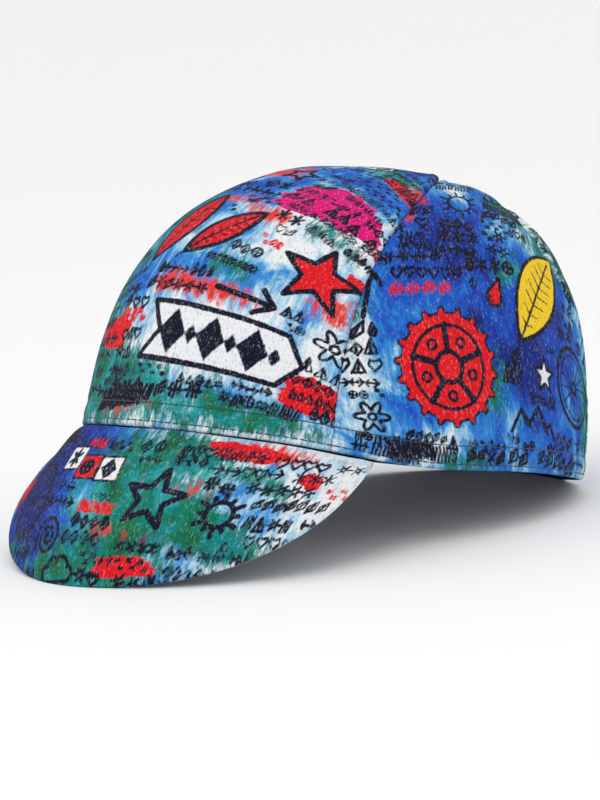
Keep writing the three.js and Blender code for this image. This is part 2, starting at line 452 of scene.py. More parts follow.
def arc(radius, points=24, start=0.0, sweep=360.0, centre=(0.0, 0.0)):
    a = np.radians(start + sweep * np.linspace(0, 1, points + 1))
    return np.stack([centre[0] + radius * np.cos(a), centre[1] + radius * np.sin(a)], -1)


def draw_wheel(p, x, y, radius, spokes):
    p.keep(x, y, 2.1 * radius, 2.1 * radius)
    for reach, points, width in ((1.0, 24, 1.9), (0.82, 24, 0.8), (0.13, 12, 1.5)):
        p.line(placed(arc(radius * reach, points), x, y), width)
    spoke = [(radius * 0.15, 0), (radius * 0.8, 0)]
    for i in range(spokes):
        p.line(placed(spoke, x, y, 1, 360 * i / spokes + 7), width=0.7)


def draw_chainring(p, x, y, radius, teeth=18, arms=5):
    p.keep(x, y, 2.1 * radius, 2.1 * radius)
    rim = []
    for i in range(teeth):
        for share, reach in ((0.0, 0.9), (0.3, 0.9), (0.42, 1.0), (0.62, 1.0), (0.76, 0.9)):
            a = 2 * math.pi * (i + share) / teeth
            rim.append((radius * reach * math.cos(a), radius * reach * math.sin(a)))
    p.shape(placed(rim, x, y), "red", edge=0.9)
    p.line(placed(arc(radius * 0.70), x, y), width=1.3)
    p.line(placed(arc(radius * 0.26, 18), x, y), width=1.8)
    arm = [(radius * 0.26, 0), (radius * 0.70, 0)]
    for i in range(arms):
        turn = 360 * i / arms
        p.line(placed(arm, x, y, 1, turn + 18), width=2.4)
        hole = placed([(radius * 0.48, 0)], x, y, 1, turn + 54)[0]
        p.line(placed(arc(radius * 0.08, 10), *hole), width=1.2)


def draw_star(p, x, y, radius, turn=0.0, ink=None, width=1.2):
    p.keep(x, y, 2 * radius, 2 * radius)
    points = 5
    corners = []
    for i in range(2 * points):
        a = math.pi * i / points
        reach = radius if i % 2 == 0 else radius * 0.42
        corners.append((reach * math.cos(a), reach * math.sin(a)))
    corners = placed(corners, x, y, 1, turn)
    if ink:
        p.shape(corners, ink, width)
    else:
        p.line(np.vstack([corners, corners[:1]]), width)


def draw_drop(p, x, y, size, turn, ink, width):
    p.keep(x, y, 1.3 * size, 2 * size, turn)
    belly = (0, -0.4)
    edge = np.concatenate([arc(0.55, 16, start=155, sweep=230, centre=belly), [(0.0, 1.0)]])
    p.shape(placed(edge, x, y, size, turn), ink, width)
    gleam = arc(0.3, 6, start=190, sweep=70, centre=belly)
    p.line(placed(gleam, x, y, size, turn), width=1.0)


def draw_leaf(p, x, y, length, turn, ink="gold", width=1.3, plump=0.21, veins=7):
    p.keep(x, y, length, 2 * plump * length, turn)
    a = np.linspace(0, 1, 17)
    bow = plump * length * np.sin(math.pi * a) ** 0.8
    along = (a - 0.5) * length
    sides = np.concatenate([np.stack([along, bow], -1), np.stack([along, -bow], -1)[::-1]])
    p.shape(placed(sides, x, y, 1, turn), ink, width)
    p.line(placed([(-0.62 * length, 0), (0.4 * length, 0)], x, y, 1, turn), width=1.0)
    for i in range(veins):
        at = (0.14 + 0.68 * i / veins - 0.5) * length
        out = 0.6 * plump * length * math.sin(math.pi * (0.5 + at / length))
        for side in (1, -1):
            p.line(placed([(at, 0), (at + 0.5 * out, side * out)], x, y, 1, turn), width=0.7)


def draw_sun(p, x, y, radius, rays=12, ink=None, width=1.2):
    p.keep(x, y, 3.4 * radius, 3.4 * radius)
    if ink:
        p.shape(placed(arc(radius), x, y), ink, width)
    else:
        p.line(placed(arc(radius), x, y), width)
    for i in range(rays):
        reach = 1.75 if i % 2 else 1.45
        p.line(placed([(radius * 1.2, 0), (radius * reach, 0)], x, y, 1, 360 * i / rays), width)


def spiral(turns=2.6):
    a = np.linspace(0.06, 1, int(12 * turns))
    angle = 2 * math.pi * turns * a
    return np.stack([a * np.cos(angle), a * np.sin(angle)], -1)


def draw_spiral(p, x, y, radius, width=1.2):
    p.keep(x, y, 2 * radius, 2 * radius)
    p.line(placed(spiral(), x, y, radius), width)


def draw_cloud(p, x, y, size, turn=0.0, width=1.2):
    p.keep(x, y, 2 * size, 1.4 * size, turn)
    for centre, radius, start, sweep in (
        ((-0.62, 0.0), 0.38, 90, 180),
        ((-0.3, 0.34), 0.40, 35, 150),
        ((0.3, 0.36), 0.46, 0, 150),
        ((0.72, 0.02), 0.36, -90, 170),
    ):
        p.line(placed(arc(radius, 12, start, sweep, centre), x, y, size, turn), width)
    p.line(placed([(-0.62, -0.38), (0.72, -0.34)], x, y, size, turn), width)


def draw_flower(p, x, y, radius, petals=6):
    p.keep(x, y, 2 * radius, 2 * radius)
    a = np.radians(np.linspace(0, 360, 10 * petals + 1))
    reach = radius * (0.72 + 0.28 * np.cos(petals * a))
    p.line(placed(np.stack([reach * np.cos(a), reach * np.sin(a)], -1), x, y), width=1.2)
    p.line(placed(arc(radius * 0.22, 10), x, y), width=1.2)


# A ridge of hills with slanting strokes on their slopes
def draw_hills(p, x, y, width, height, turn, strokes=9):
    p.keep(x, y + height / 2, width, height, turn)
    ridge = [(-0.5, 0.0), (-0.28, 0.8), (-0.12, 0.35), (0.1, 1.0), (0.3, 0.3), (0.38, 0.5), (0.5, 0.0)]
    ridge = np.array(ridge) * (width, height)
    p.line(placed(ridge, x, y, 1, turn), width=1.5)
    for i in range(strokes):
        at = (-0.34 + 0.08 * i) * width
        top = np.interp(at, ridge[:, 0], ridge[:, 1])
        p.line(placed([(at, top - 1.2), (at + 1.4, top * 0.35)], x, y, 1, turn), width=0.8)


def draw_arrow(p, x, y, length, turn, width):
    p.keep(x, y, length, 0.4 * length, turn)
    p.line(placed([(-0.5 * length, 0), (0.5 * length, 0)], x, y, 1, turn), width)
    head = [(0.22 * length, 0.22 * length), (0.5 * length, 0), (0.22 * length, -0.22 * length)]
    p.line(placed(head, x, y, 1, turn), width)


# A white ribbon with a heavy black edge and a row of filled diamonds on it, each second one a small one
def draw_ribbon(p, x, y, width, height, turn, slant=0.35):
    p.keep(x, y, width, height * 1.1, turn)
    w, h = width / 2, height / 2
    tip = slant * h
    outline = [(-w, -h), (w - tip, -h), (w + tip, 0), (w - tip, h), (-w, h), (-w + 2 * tip, 0)]
    p.shape(placed(outline, x, y, 1, turn), "white", edge=2.0)
    start, end = -w + height * 0.42, w - height * 0.12
    count = max(3, int((end - start) / (height * 0.36)))
    step = (end - start) / count
    for i in range(count):
        at = start + step * (i + 0.5)
        half, tall = (step * 0.70, h * 0.78) if i % 2 == 0 else (step * 0.26, h * 0.34)
        diamond = [(at - half, 0), (at, -tall), (at + half, 0), (at, tall)]
        p.shape(placed(diamond, x, y, 1, turn), "black", edge=0.4, covers_black=False)


# Three small leaning tiles, each with one sign on it
def draw_tiles(p, x, y, size, turn):
    p.keep(x, y, 3.4 * size, 1.3 * size, turn)
    for i, (ink, sign) in enumerate((("white", "spark"), ("red", "wheel"), ("white", "diamond"))):
        at = placed([((i - 1) * 1.05 * size, 0.08 * size * (-1) ** i)], x, y, 1, turn)[0]
        corner = size / 2
        square = [(-corner, -corner), (corner, -corner), (corner, corner), (-corner, corner)]
        p.shape(placed(square, *at, 1, turn + 12), ink, edge=0.9)
        wide, strokes = SIGNS[sign]
        for stroke in strokes:
            middle = np.asarray(stroke, float) - (wide / 2, 0.5)
            p.line(placed(middle, *at, size * 0.66, turn + 8), width=1.5)


# A patch of flat ink with a ragged, brushed edge
def draw_patch(p, x, y, width, height, turn, ink, seed, corners=44):
    rng = random.Random(seed)
    edge = []
    for i in range(corners):
        a = 2 * math.pi * i / corners
        reach = 1 + rng.uniform(-0.13, 0.13) + 0.1 * math.sin(3 * a + seed)
        square = (abs(math.cos(a)) ** 3 + abs(math.sin(a)) ** 3) ** (-1 / 3)
        edge.append((width / 2 * reach * square * math.cos(a), height / 2 * reach * square * math.sin(a)))
    p.shape(placed(edge, x, y, 1, turn), ink, covers_black=False)


# Back-and-forth strokes that fill a box
def draw_hatch(p, x, y, width, height, turn, seed, strokes, line, ink="black"):
    rng = random.Random(seed)
    points = []
    for i in range(strokes):
        at = -width / 2 + width * i / (strokes - 1)
        points.append((at + rng.uniform(-0.6, 0.6), -height / 2 + rng.uniform(0, 1.4)))
        points.append((at + rng.uniform(0.3, 1.5), height / 2 - rng.uniform(0, 1.4)))
    p.line(placed(points, x, y, 1, turn), line, ink)


# Small signs for rows of marks: how wide each is, and its strokes in a cell one unit tall
SIGNS = {
    "wheel": (1.0, [
        arc(0.42, 10, centre=(0.43, 0.48)),
        [(0.03, 0.48), (0.83, 0.48)],
        [(0.43, 0.06), (0.43, 0.9)],
    ]),
    "spark": (0.9, [[(0.08, 0.2), (0.78, 0.8)], [(0.08, 0.8), (0.78, 0.2)], [(0.43, 0), (0.43, 1)]]),
    "daisy": (0.95, [arc(0.2, 8, centre=(0.45, 0.48))] + [
        placed([(0.3, 0), (0.5, 0)], 0.45, 0.48, 1, turn) for turn in range(0, 360, 60)
    ]),
    "drop": (0.6, [
        [(0.3, 1), (0.06, 0.4), (0.16, 0.06), (0.42, 0.06), (0.54, 0.4), (0.3, 1)],
        [(0.3, 0.7), (0.3, 0.3)],
    ]),
    "diamond": (0.85, [
        [(0, 0.5), (0.38, 1), (0.76, 0.5), (0.38, 0), (0, 0.5)],
        [(0.38, 0.35), (0.38, 0.65)],
    ]),
    "dart": (1.1, [
        [(0, 0.5), (1, 0.5)],
        [(0.62, 0.9), (1, 0.5), (0.62, 0.1)],
        [(0.15, 0.8), (0, 0.5), (0.15, 0.2)],
    ]),
    "tent": (0.9, [[(0, 0), (0.4, 1), (0.8, 0), (0, 0)], [(0.4, 0.7), (0.4, 0.1)]]),
    "water": (0.85, [
        [(0, 0.2), (0.2, 0.45), (0.4, 0.2), (0.6, 0.45), (0.8, 0.2)],
        [(0, 0.6), (0.2, 0.85), (0.4, 0.6), (0.6, 0.85), (0.8, 0.6)],
    ]),
    "spine": (1.15, [
        [(0, 0.5), (1.1, 0.5)],
        [(0.2, 0.1), (0.3, 0.9)],
        [(0.5, 0), (0.6, 1)],
        [(0.8, 0.15), (0.9, 0.85)],
    ]),
    "hatching": (0.72, [[(0, 0), (0.22, 1)], [(0.26, 0), (0.48, 1)], [(0.5, 0), (0.7, 1)]]),
    "checks": (0.9, [
        [(0.05, 0.87), (0.38, 0.87)],
        [(0.05, 0.67), (0.38, 0.67)],
        [(0.47, 0.35), (0.8, 0.35)],
        [(0.47, 0.15), (0.8, 0.15)],
    ]),
    "heart": (0.9, [[(0.4, 0), (0, 0.55), (0.12, 0.92), (0.4, 0.72), (0.68, 0.92), (0.8, 0.55), (0.4, 0)]]),
    "leaf": (0.8, [[(0, 0.05), (0.06, 0.6), (0.7, 1), (0.62, 0.35), (0, 0.05)], [(0, 0.05), (0.5, 0.75)]]),
}


# A row of one to three kinds of small sign, each stroke a little unsteady
def draw_row(p, x, y, length, height, turn, seed, width, ink):
    rng = random.Random(seed)
    kinds = rng.sample(list(SIGNS), rng.choice((1, 2, 3)))
    at = 0.0
    while True:
        wide, strokes = SIGNS[rng.choice(kinds)]
        if (at + wide) * height > length:
            return
        lift, tall = rng.uniform(-0.08, 0.08), rng.uniform(0.86, 1.08)
        for stroke in strokes:
            points = []
            for u, v in stroke:
                across = at + u + rng.uniform(-SHAKE, SHAKE)
                up = v * tall + lift + rng.uniform(-SHAKE, SHAKE)
                points.append((across * height, up * height))
            p.line(placed(points, x, y, 1, turn), width * rng.uniform(0.85, 1.2), ink)
        at += wide * rng.uniform(1.0, 1.14)


# Rows of small marks wherever nothing is yet, in stretches of their own size and lean
def fill_rows(p, low, high, seed, leading, lean, heights=(4.3, 5.8), weight=(0.15, 0.21)):
    rng = random.Random(seed)
    y = low[1]
    while y < high[1]:
        x = low[0] + rng.uniform(0, 5)
        while x < high[0] - SHORTEST_ROW:
            length = rng.uniform(*ROW_LENGTHS)
            height = rng.uniform(*heights)
            turn = lean + rng.uniform(-2.5, 2.5)
            while length > SHORTEST_ROW and not p.is_free(row_box(x, y, length, height, turn)):
                length -= 2
            if length > SHORTEST_ROW:
                ink = "red" if rng.random() < RED_ROWS else "black"
                draw_row(p, x, y, length, height, turn, rng.random(), height * rng.uniform(*weight), ink)
                middle = placed([(length / 2, height / 2)], x, y, 1, turn)[0]
                p.keep(*middle, length, 0.7 * height, turn)
            x += max(length, 2) + rng.uniform(0.5, 2.2)
        y += leading * rng.uniform(0.94, 1.06)


# Smaller rows in what is still bare
def fill_gaps(p, low, high, seed, lean):
    fill_rows(p, low, high, seed, 2.3, lean, heights=(3.3, 4.3), weight=(0.17, 0.22))


# Points spread over a row's place, to find whether it is free
def row_box(x, y, length, height, turn):
    grid = [(u, v) for u in np.arange(0, length + 1, 2.0) for v in (0, height / 2, height)]
    return placed(grid, x, y, 1, turn)


# The print of each piece, in mm and degrees on its flat cloth: each wash with its place, reach across, reach
# up, depth and turn, then patches and motifs with their places and sizes, then rows of signs between them
def print_front(p):
    for wash in (
        ("blue", 0, 80, 120, 140, 0.20),
        ("blue", -60, 70, 34, 80, 0.45),
        ("blue", 0, 172, 90, 30, 0.62),
        ("blue", 34, 128, 30, 13, 0.5),
        ("blue", 6, 56, 46, 10, 0.30),
        ("blue", 74, 60, 10, 60, 0.28),
        ("blue", -6, 100, 22, 22, 0.34),
        ("blue", 26, 12, 40, 8, 0.3),
        ("green", -58, 26, 36, 38, 1.0),
        ("green", -12, 14, 34, 14, 0.85),
        ("green", -34, 92, 26, 28, 0.85),
        ("green", 30, 146, 20, 10, 0.7),
        ("green", 20, 60, 12, 9, 0.6),
        ("green", 44, 88, 20, 7, 0.6),
        ("green", 40, 6, 26, 7, 0.85),
        ("rust", 12, 50, 22, 5, 0.85, -4),
        ("rust", 60, 58, 10, 10, 0.7),
        ("rust", 22, 86, 14, 5, 0.6),
        ("rust", -14, 118, 24, 12, 0.85, 12),
        ("rust", 56, 140, 18, 8, 0.75, -20),
        ("rust", 66, 92, 10, 14, 0.6, 20),
        ("rust", -8, 8, 14, 5, 0.6),
        ("rust", 4, 92, 12, 4, 0.5),
        ("dark", -66, 40, 20, 60, 0.75),
        ("dark", -16, 18, 16, 9, 0.6),
        ("dark", -10, 168, 60, 14, 0.75),
        ("dark", 30, 124, 18, 6, 0.5),
        ("dark", -42, 112, 20, 14, 0.6),
    ):
        p.wash(*wash)
    draw_patch(p, 36, 103, 42, 22, 6, "pink", 3)
    draw_patch(p, -26, 33, 22, 11, -6, "red", 5)
    draw_patch(p, 64, 20, 30, 14, -4, "red", 8)
    draw_patch(p, 42, 138, 24, 9, -14, "red", 9)
    draw_hatch(p, -12, 9, 22, 7, 8, 11, 14, 2.0)
    draw_hatch(p, 64, 76, 12, 6, 14, 12, 8, 1.8, "red")
    draw_ribbon(p, 24, 32, 56, 20, -3)
    draw_ribbon(p, -12, 148, 64, 12, 6)
    draw_leaf(p, -11, 77, 36, 74, "red", 2.0, 0.2)
    draw_leaf(p, 9, 74, 30, 48, "red", 2.0, 0.2)
    draw_star(p, 50, 68, 15, 20, "red", 2.0)
    draw_wheel(p, -44, 98, 15, 14)
    draw_hills(p, -40, 62, 30, 12, 4)
    draw_arrow(p, 30, 50, 22, -6, 2.2)
    draw_spiral(p, -56, 42, 8)
    draw_flower(p, 64, 43, 7.5, 6)
    draw_sun(p, 70, 122, 4.5, 12, "gold")
    draw_star(p, -68, 78, 7, 30)
    draw_star(p, 7, 118, 6.5, 10, None, 1.6)
    fill_rows(p, (-84, 11), (84, 182), 40, 6.2, -3.0)
    fill_gaps(p, (-84, 11), (84, 182), 43, -3.0)


def print_side(p):
    for wash in (
        ("blue", 0, 36, 90, 60, 0.76),
        ("blue", 0, 100, 60, 40, 0.44),
        ("blue", 24, 44, 26, 22, 0.22),
        ("blue", -26, 84, 26, 18, 0.28),
        ("blue", -62, 48, 9, 34, -0.42),
        ("blue", -36, 9, 12, 6, -0.42),
        ("blue", 16, 90, 18, 12, -0.5),
        ("blue", 40, 112, 16, 8, -0.4),
        ("blue", 4, 18, 10, 6, -0.25),
        ("green", -22, 3, 22, 5, 0.55),
        ("blue", 60, 84, 14, 12, -0.3),
        ("blue", -12, 112, 16, 7, -0.25),
        ("green", 42, 98, 26, 24, 0.75),
        ("green", 64, 30, 12, 34, 0.80),
        ("green", -62, 60, 9, 16, 0.7),
        ("green", 8, 70, 11, 9, 0.55),
        ("green", -6, 28, 9, 14, 0.5),
        ("rust", -34, 98, 8, 6, 0.5),
        ("dark", -50, 4, 10, 8, 0.8),
        ("dark", 36, 56, 16, 12, 0.45),
        ("dark", -20, 70, 30, 10, 0.4),
        ("green", 20, 112, 16, 8, 0.6),
    ):
        p.wash(*wash)
    draw_chainring(p, -26, 36, 21)
    draw_leaf(p, 24, 66, 52, 54, "gold", 1.7)
    draw_cloud(p, 40, 104, 11, -18)
    draw_wheel(p, 46, 34, 15, 14)
    draw_hills(p, 12, 13, 26, 10, -4)
    draw_sun(p, -10, 104, 5)
    draw_star(p, 21, 34, 6.5, 15, "white")
    draw_flower(p, -58, 18, 6.5)
    draw_spiral(p, 50, 82, 7.5)
    draw_drop(p, -1, 62, 6, -24, "red", 1.3)
    draw_arrow(p, -52, 66, 18, 70, 1.8)
    draw_hatch(p, -46, 6, 16, 6, 10, 12, 12, 1.8)
    fill_rows(p, (-70, 3), (70, 126), 140 + p.number, 6.6, -6.0, (4.5, 6.4))
    fill_gaps(p, (-70, 3), (70, 126), 150 + p.number, -6.0)


def print_back(p):
    for wash in (
        ("blue", -30, 50, 44, 54, 0.62),
        ("blue", 34, 60, 34, 44, 0.5),
        ("green", 44, 20, 26, 36, 0.9),
        ("green", -44, 92, 24, 22, 0.9),
        ("green", 36, 100, 22, 22, 0.9),
        ("rust", 0, 128, 60, 12, 1.1),
        ("rust", -46, 14, 14, 8, 0.7),
        ("dark", -20, 120, 30, 12, 0.7),
        ("dark", 56, 60, 14, 40, 0.5),
    ):
        p.wash(*wash)
    draw_wheel(p, -18, 44, 17, 16)
    draw_leaf(p, 24, 60, 34, -58)
    draw_star(p, 6, 92, 9, 10, "red", 1.3)
    draw_ribbon(p, 24, 22, 40, 13, 4)
    draw_cloud(p, -28, 84, 10, 8)
    draw_spiral(p, 46, 82, 8)
    fill_rows(p, (-70, 12), (70, 130), 300, 6.4, -3.0)
    fill_gaps(p, (-70, 12), (70, 130), 310, -3.0)


# The peak's cloth lies below the rim, at negative heights
def print_peak(p):
    for wash in (
        ("blue", 0, -30, 90, 50, 0.16),
        ("blue", -36, -26, 36, 60, 1.12),
        ("blue", 14, -54, 30, 12, 0.35),
        ("blue", 50, -24, 20, 20, 0.22),
        ("green", 16, -28, 22, 30, 1.1),
        ("green", 0, -56, 22, 10, 0.95),
        ("green", -44, -52, 12, 7, 0.55),
        ("green", 46, -36, 26, 8, 0.95, -20),
        ("green", 34, -10, 14, 6, 0.6, -25),
        ("green", 60, -18, 12, 5, 0.6, -25),
        ("rust", 54, -5, 18, 5, 0.7),
        ("rust", 12, -40, 12, 4, 0.5),
        ("rust", 34, -22, 10, 4, 0.45),
        ("dark", -44, -18, 30, 22, 0.5),
        ("dark", -10, -8, 16, 5, 0.8),
        ("dark", 4, -44, 26, 8, 0.55),
        ("dark", 46, -44, 14, 6, 0.4),
    ):
        p.wash(*wash)
    draw_patch(p, 46, -6, 24, 7, -4, "red", 13)
    draw_patch(p, 22, -51, 22, 7, 6, "red", 15)
    draw_patch(p, 72, -15, 9, 6, -30, "red", 16)
    draw_patch(p, -60, -30, 22, 7, 24, "red", 17)
    draw_tiles(p, -8, -17, 9.5, -8)
    draw_wheel(p, -38, -31, 14, 14)
    draw_star(p, 24, -27, 11, 12, None, 2.2)
    draw_leaf(p, -66, -22, 20, 70, "white", 1.1)
    draw_spiral(p, -14, -44, 7.5, 1.5)
    draw_sun(p, 48, -30, 4.5, 12, None, 1.7)
    draw_cloud(p, -4, -56, 7, 5, 1.5)
    draw_hatch(p, -44, -7, 24, 7, 6, 18, 14, 1.6)
    fill_rows(p, (-86, -58), (86, -5), 400, 6.0, 0.0, (4.0, 5.4))
    fill_gaps(p, (-86, -58), (86, -5), 405, 0.0)


def print_peak_under(p):
    p.wash("blue", -20, -26, 90, 60, 0.6)
    p.wash("green", 40, -30, 30, 30, 0.6)
    draw_wheel(p, 10, -28, 15, 14)
    draw_cloud(p, -40, -26, 10)
    draw_star(p, -14, -44, 7)
    fill_rows(p, (-86, -58), (86, -5), 500, 7.2, 0.0)


# Slow shallow waves of stretched cloth, between -1 and 1
def soft_waves(x, y, seed):
    rng = random.Random(seed)
    total = np.zeros_like(x)
    for _ in range(WAVE_COUNT):
        heading, length, phase = rng.uniform(0, math.pi), rng.uniform(*WAVE_LENGTHS), rng.uniform(0, 6.28)
        total += np.sin(2 * math.pi * (x * math.cos(heading) + y * math.sin(heading)) / length + phase)
    return total / WAVE_COUNT


# Ripples from -1 to 1 along the cloth: their spacing, and how far in radians and over what length it wanders
def ripples(along, seed, spacing, amount, length):
    return np.sin(2 * math.pi * along / spacing + amount * np.sin(along / length + seed))


# Surface relief of a crown panel, in metres outwards, at a place across it, up it and from its nearest seam
def panel_relief(x, y, edge, seed):
    grow = 1 - np.exp(-np.maximum(y - STITCH_ROWS[1] - WAVE_START, 0) / WAVE_EASE)
    clear_of_hem = np.minimum(grow * 4, 1)
    relief = WAVE_HEIGHT * soft_waves(x, y, seed) * grow
    relief -= (HEM_SEAM_GROOVE + MORE_SEAM_GROOVE * clear_of_hem) * np.exp(-edge / SEAM_GROOVE_WIDTH)
    relief += SEAM_RIDGE * bump(edge - SEAM_RIDGE_PLACE, SEAM_RIDGE_WIDTH) * clear_of_hem
    relief += PUCKER * np.exp(-edge / PUCKER_REACH) * ripples(y, seed, *PUCKER_RIPPLES) * grow
    for row in STITCH_ROWS:
        between = 0.75 + 0.25 * np.cos(2 * math.pi * x / STITCH_PITCH)
        relief -= ROW_GROOVE * bump(y - row, ROW_GROOVE_WIDTH) * between
    relief += BAND_RISE * bump(y - sum(STITCH_ROWS) / 2, BAND_WIDTH)
    from_row = np.maximum(y - STITCH_ROWS[1], 0)
    gathered = GATHER * ripples(x, seed, *GATHER_RIPPLES) * np.exp(-from_row / GATHER_REACH)
    return relief + gathered * (1 - bump(from_row, GATHER_CLEAR))


# How far a fold's rounding lies behind its outside, at a height above the fold's edge
def rounding(height, radius):
    inside = np.clip(radius - height, 0, radius)
    return radius - np.sqrt(radius ** 2 - inside ** 2)


# Closed mesh from a fine grid of outside points and a coarse grid of inside points whose borders meet it
def closed_sheet(name, outside, inside, ring=False):
    rows, columns = outside.shape[:2]
    few_rows, few_columns = inside.shape[:2]
    wide, few_wide = (columns, few_columns) if ring else (columns - 1, few_columns - 1)
    points = np.concatenate([outside.reshape(-1, 3), inside.reshape(-1, 3)])

    def outer(j, i):
        return j * columns + (i % columns if ring else i)

    def inner(j, i):
        return rows * columns + j * few_columns + (i % few_columns if ring else i)

    def across(j, few_j, turned):
        fine = [outer(j, i) for i in range(wide + 1)]
        return join(fine, [inner(few_j, i) for i in range(few_wide + 1)], turned)

    def upwards(i, few_i, turned):
        fine = [outer(j, i) for j in range(rows)]
        return join(fine, [inner(j, few_i) for j in range(few_rows)], turned)

    quads = np.concatenate([
        grid_faces(rows - 1, wide, outer),
        grid_faces(few_rows - 1, few_wide, inner)[:, ::-1],
    ])
    corners = across(0, 0, False) + across(rows - 1, few_rows - 1, True)
    if not ring:
        corners += upwards(0, 0, True) + upwards(wide, few_wide, False)
    return new_mesh(name, points, quads, np.array(corners, int).reshape(-1, 3))


def grid_faces(high, wide, index):
    j, i = np.meshgrid(np.arange(high), np.arange(wide), indexing="ij")
    return np.stack([index(j, i), index(j, i + 1), index(j + 1, i + 1), index(j + 1, i)], -1).reshape(-1, 4)


# Triangles between a fine border and the coarse one behind it
def join(fine, few, turned):
    step = (len(fine) - 1) // (len(few) - 1)
    corners = []
    for k in range(len(few) - 1):
        fan = []
        for i in range(step):
            near = few[k] if i < step / 2 else few[k + 1]
            fan.append((fine[step * k + i + 1], fine[step * k + i], near))
        fan.append((few[k], few[k + 1], fine[step * k + (step + 1) // 2]))
        corners += [tuple(reversed(t)) for t in fan] if turned else fan
    return corners


def new_mesh(name, points, quads, triangles):
    volume = 0.0
    for faces in (quads[:, [0, 1, 2]], quads[:, [0, 2, 3]], triangles):
        a, b, c = points[faces[:, 0]], points[faces[:, 1]], points[faces[:, 2]]
        volume += (a * np.cross(b, c)).sum()
    if volume < 0:
        quads, triangles = quads[:, ::-1], triangles[:, ::-1]
    loops = np.concatenate([quads.ravel(), triangles.ravel()]).astype(np.int32)
    starts = np.concatenate([
        np.arange(len(quads)) * 4,
        len(quads) * 4 + np.arange(len(triangles)) * 3,
    ]).astype(np.int32)
    mesh = bpy.data.meshes.new(name)
    mesh.vertices.add(len(points))
    mesh.vertices.foreach_set("co", points.astype(np.float32).ravel())
    mesh.loops.add(len(loops))
    mesh.loops.foreach_set("vertex_index", loops)
    mesh.polygons.add(len(starts))
    mesh.polygons.foreach_set("loop_start", starts)
    mesh.update(calc_edges=True)
    mesh.validate()
    mesh.shade_smooth()
    piece = bpy.data.objects.new(name, mesh)
    bpy.context.scene.collection.objects.link(piece)
    return piece


def set_attribute(mesh, name, values, kind="FLOAT"):
    layer = mesh.attributes.new(name, kind, "POINT")
    field = "vector" if kind == "FLOAT_VECTOR" else "value"
    layer.data.foreach_set(field, np.asarray(values, np.float32).ravel())


# Draws the print of a piece whose fine side comes first in its mesh, then its coarse side
def lay_print(piece, draw, number, across, up):
    mesh = piece.data
    sides = []
    for x, y in ((across, up), (across[COARSE_GRID], up[COARSE_GRID])):
        sides.append(Print(x, y, number))
        draw(sides[-1])
    layers = [{**side.inks, **side.washes} for side in sides]
    for name in INKS + WASHES:
        set_attribute(mesh, name, np.concatenate([layer[name] for layer in layers]))
    shift = number * NOISE_SHIFT
    cloth = [np.stack([side.x, side.y, np.full(side.x.size, shift)], -1) for side in sides]
    set_attribute(mesh, "cloth", np.concatenate(cloth), "FLOAT_VECTOR")
    set_attribute(mesh, "wrong_side", np.arange(len(mesh.vertices)) >= across.size)


# Number of cells of the printed side along a length, in whole groups of the wrong side's
def cells_along(length):
    return int(round(length / PRINT_CELL / COARSE)) * COARSE


# Places along a panel's height, close together in the fold of its rim, as lengths up the cloth
def steps_up(total):
    low = np.linspace(0, RIM_FOLD * 1.6, FOLD_STEPS + 1)
    return np.concatenate([low[:-1], np.linspace(low[-1], total, cells_along(total - low[-1]) + 1)])


# Places across a panel as shares of its width, closer together at both seams
def shares_across(width):
    t = np.linspace(0, 1, cells_along(width) + 1)
    return t - SEAM_CROWDING / (2 * math.pi) * np.sin(2 * math.pi * t)


def lengths_along(points, axis):
    steps = np.linalg.norm(np.diff(points, axis=axis), axis=-1)
    start = np.zeros_like(np.take(steps, [0], axis=axis))
    return np.concatenate([start, np.cumsum(steps, axis=axis)], axis=axis)


# Angles and climbs of a panel's points, their lengths up its middle line, and that line itself
def panel_grid(from_seam, to_seam):
    probe = np.linspace(0, APEX_ANGLE, CLIMB_PROBES)
    middle = (from_seam(probe) + to_seam(probe)) / 2
    up_line = lengths_along(crown_point(middle, probe), 0)
    up = steps_up(up_line[-1])
    climb = np.interp(up, up_line, probe)[:, None]
    rim = lengths_along(crown_point(np.linspace(from_seam(0), to_seam(0), RIM_PROBES), 0), 0)[-1]
    angle = from_seam(climb) + (to_seam(climb) - from_seam(climb)) * shares_across(rim)[None, :]
    return angle, np.broadcast_to(climb, angle.shape), up, (up_line, probe)


# One crown panel between two seam lines
def make_panel(name, from_seam, to_seam, draw, number):
    angle, climb, up, middle_line = panel_grid(from_seam, to_seam)
    surface = crown_point(angle, climb)
    inward = crown_inward(angle, climb)
    across = lengths_along(surface, 1)
    width = across[:, -1:]
    edge = np.minimum(across, width - across)
    across = across - width / 2
    rise = np.linalg.norm(surface - crown_point(angle, 0), axis=-1)
    depth = rounding(rise, RIM_FOLD) - panel_relief(across, rise, edge, number)
    slip = unit(np.gradient(surface, axis=1)) * np.where(across > 0, -1, 1)[..., None]
    parted = slip * (SEAM_SLIT * np.exp(-edge / SEAM_SLIT_REACH))[..., None]
    allowance = np.where((edge < SEAM_ALLOWANCE) & (rise > ALLOWANCE_START), ALLOWANCE_CLOTH, 0)
    inner_depth = np.maximum(PANEL_CLOTH + allowance, depth + THINNEST_CLOTH)
    outside = surface + inward * depth[..., None] + parted
    inside = surface + inward * inner_depth[..., None] + parted
    piece = closed_sheet(name, rest(outside), rest(inside[COARSE_GRID]))
    away = angle - (from_seam(climb) + to_seam(climb)) / 2
    print_x, print_y = flatten(away, climb, across, middle_line)
    lay_print(piece, draw, number, print_x, print_y)
    area = float((width[:, 0][:-1] * np.diff(up)).sum())
    return piece, (float(print_x.max() - print_x.min()), float(print_y.max())), area


